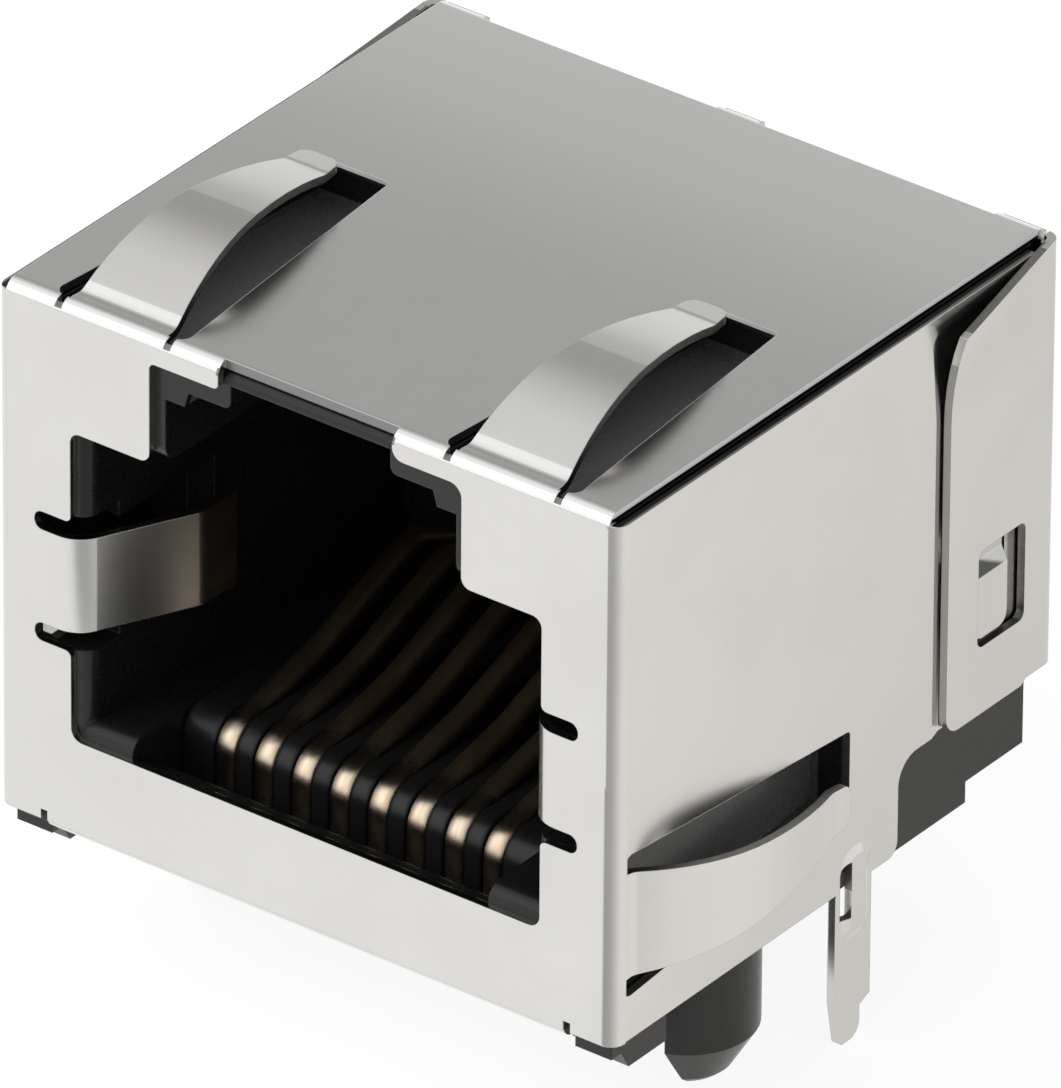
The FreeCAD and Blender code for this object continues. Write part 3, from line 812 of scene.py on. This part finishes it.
@dataclass(frozen=True)
class TableCard:
    """A round grey card on the table, seen only in reflections.

    It stands for the darker room before the table, and gives the upright folds their dark bands.
    Its levels go by azimuth round the foot of the jack's right front fold, and it fades out from
    full_share of its radius to its rim.
    """

    middle: tuple[float, float] = (8.1 * MM, -4.9 * MM)
    radius: float = 62.0 * MM
    full_share: float = 0.75
    levels: tuple[tuple[float, Colour], ...] = (
        (-180.0, (0.79, 0.78, 0.76)), (-120.0, (0.98, 0.98, 0.98)), (-36.0, (1.03, 1.03, 1.02)),
        (-30.0, (0.94, 0.94, 0.93)), (-25.0, (0.60, 0.60, 0.59)), (-19.0, (0.37, 0.37, 0.36)),
        (-1.0, (0.46, 0.46, 0.45)), (17.0, (0.47, 0.47, 0.46)), (35.0, (0.55, 0.55, 0.54)),
        (53.0, (0.66, 0.66, 0.64)), (71.0, (0.77, 0.76, 0.74)), (89.0, (0.90, 0.88, 0.86)),
        (124.0, (0.94, 0.92, 0.89)), (144.0, (0.905, 0.885, 0.855)), (152.0, (0.86, 0.84, 0.81)),
        (158.0, (0.805, 0.79, 0.76)), (164.0, (0.78, 0.765, 0.74)), (176.0, (0.79, 0.78, 0.76)),
    )

    def build(self, height: float) -> None:
        """Lays the card.

        Args:
            height: Level of the table.
        """
        mesh = bpy.data.meshes.new("table_card")
        x, y = self.middle
        half = self.radius
        corners = [(x - half, y - half), (x + half, y - half), (x + half, y + half), (x - half, y + half)]
        mesh.from_pydata([(*corner, height) for corner in corners], [], [(0, 1, 2, 3)])
        material, graph = new_material("table_card")
        place = graph.place()
        right = graph.part(place, Axis.X) - x
        ahead = y - graph.part(place, Axis.Y)
        turn = right.turned_to(ahead) / (2 * math.pi) + 0.5
        stops = [(azimuth / 360.0 + 0.5, level) for azimuth, level in self.levels]
        grey = graph.node("ShaderNodeValToRGB", {"stops": stops}, {"Fac": turn})
        glow = graph.node("ShaderNodeEmission", {}, {"Color": grey, "Strength": 1.0})
        clear = graph.node("ShaderNodeBsdfTransparent", {}, {})
        reach = (right * right + ahead * ahead) ** 0.5
        shader = graph.node("ShaderNodeMixShader", {}, {
            0: reach.step(self.radius, self.radius * self.full_share), 1: clear, 2: glow,
        })
        finish(graph, shader)
        mesh.materials.append(material)
        card = bpy.data.objects.new("table_card", mesh)
        bpy.context.scene.collection.objects.link(card)
        card.visible_camera = False
        card.visible_diffuse = False
        card.visible_transmission = False
        card.visible_shadow = False
        card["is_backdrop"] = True


@dataclass(frozen=True)
class Studio:
    """Floor, sky and lamp.

    Round the lamp the sky has a halo with a core. Their reaches are cosines of the angle to the
    lamp, and halo_foot is the rise above the horizon over which the halo comes in.
    """

    floor_size: float = 1.6
    floor_gap: float = 0.02 * MM
    floor_colour: Colour = (0.80, 0.80, 0.80)
    floor_albedo: float = 0.17
    floor_glow: float = 0.895
    sky_stops: tuple[tuple[float, float], ...] = (
        (0.00, 0.84), (0.19, 0.87), (0.27, 0.84), (0.34, 0.79), (0.40, 0.70), (0.45, 0.57),
        (0.50, 0.41), (0.62, 0.40), (0.72, 0.39), (1.00, 0.42),
    )
    halo: float = 0.82
    halo_reach: tuple[float, float] = (0.30, 0.80)
    halo_foot: tuple[float, float] = (0.10, 0.30)
    core: float = 1.24
    core_reach: tuple[float, float] = (0.900, 0.965)
    key: SoftBox = SoftBox("key_lamp", azimuth=-45.0, elevation=33.0, distance=0.34, side=0.25, watts=0.39)
    card: TableCard = TableCard()

    def build(self, low: Vector, high: Vector) -> None:
        """Builds the studio round the jack.

        Args:
            low: The jack's lowest corner.
            high: Its highest corner.
        """
        table = low.z - self.floor_gap
        self._floor(table)
        self.card.build(table + self.floor_gap / 2)
        self._sky()
        self.key.build((low + high) / 2)

    def _floor(self, height: float) -> None:
        """A plain pale floor that stays white and keeps the jack's shadow.

        Args:
            height: Its level.
        """
        half = self.floor_size / 2
        mesh = bpy.data.meshes.new("floor")
        corners = [(-half, -half, height), (half, -half, height), (half, half, height), (-half, half, height)]
        mesh.from_pydata(corners, [], [(0, 1, 2, 3)])
        material, graph = new_material("floor_paper")
        matt = graph.node("ShaderNodeBsdfDiffuse", {}, {"Color": (self.floor_albedo,) * 3})
        glow = graph.node("ShaderNodeEmission", {}, {"Color": (1.0, 1.0, 1.0), "Strength": self.floor_glow})
        both = graph.node("ShaderNodeAddShader", {}, {0: matt, 1: glow})
        plain = graph.node("ShaderNodeBsdfDiffuse", {}, {"Color": self.floor_colour})
        shader = graph.node("ShaderNodeMixShader", {}, {0: seen_directly(graph), 1: plain, 2: both})
        finish(graph, shader)
        mesh.materials.append(material)
        floor = bpy.data.objects.new("floor", mesh)
        bpy.context.scene.collection.objects.link(floor)
        floor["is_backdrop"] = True

    def _sky(self) -> None:
        """A soft grey sky, paler low down and round the lamp, and white where the camera sees it."""
        world = bpy.data.worlds.new("studio")
        bpy.context.scene.world = world
        world.use_nodes = True
        graph = Graph(world.node_tree)
        towards = graph.node("ShaderNodeTexCoord", {}, {}, "Generated")
        height = graph.part(towards, Axis.Z).at_least(0.0)
        stops = [(position, (level, level, level)) for position, level in self.sky_stops]
        grey = graph.node("ShaderNodeValToRGB", {"stops": stops}, {"Fac": height})
        lamp = direction(self.key.azimuth, self.key.elevation)
        nearness = graph.dot(towards, lamp)
        halo = nearness.step(*self.halo_reach) * height.step(*self.halo_foot)
        bright = graph.blend(halo, grey, (self.halo,) * 3)
        bright = graph.blend(nearness.step(*self.core_reach), bright, (self.core,) * 3)
        sky = graph.node("ShaderNodeBackground", {}, {"Color": bright, "Strength": 1.0})
        white = graph.node("ShaderNodeBackground", {}, {"Color": (1.0, 1.0, 1.0), "Strength": 1.0})
        camera = graph.node("ShaderNodeLightPath", {}, {}, "Is Camera Ray")
        shader = graph.node("ShaderNodeMixShader", {}, {0: camera, 1: sky, 2: white})
        finish(graph, shader, "ShaderNodeOutputWorld")


def seen_directly(graph: Graph) -> Socket:
    """1 for rays from the camera, off metal or through glass, and 0 for the rest."""
    names = ("Is Camera Ray", "Is Glossy Ray", "Is Transmission Ray")
    camera, glossy, through = (graph.node("ShaderNodeLightPath", {}, {}, name) for name in names)
    return (camera + glossy + through).at_most(1.0)


def main() -> None:
    """Builds the dressed jack and its studio."""
    logging.basicConfig(level=logging.INFO, format="%(message)s")
    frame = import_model()
    cad_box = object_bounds()
    contacts = sum(name.removeprefix("contact_").isdigit() for name in frame["nodes"])
    for assembly in (Shield(), Mouldings(), ContactRow(contacts)):
        assembly.build(frame["nodes"])
    Studio().build(*cad_box)
    Camera().build()
    bpy.context.scene.view_settings.view_transform = "Standard"


if __name__ == "__main__":
    main()
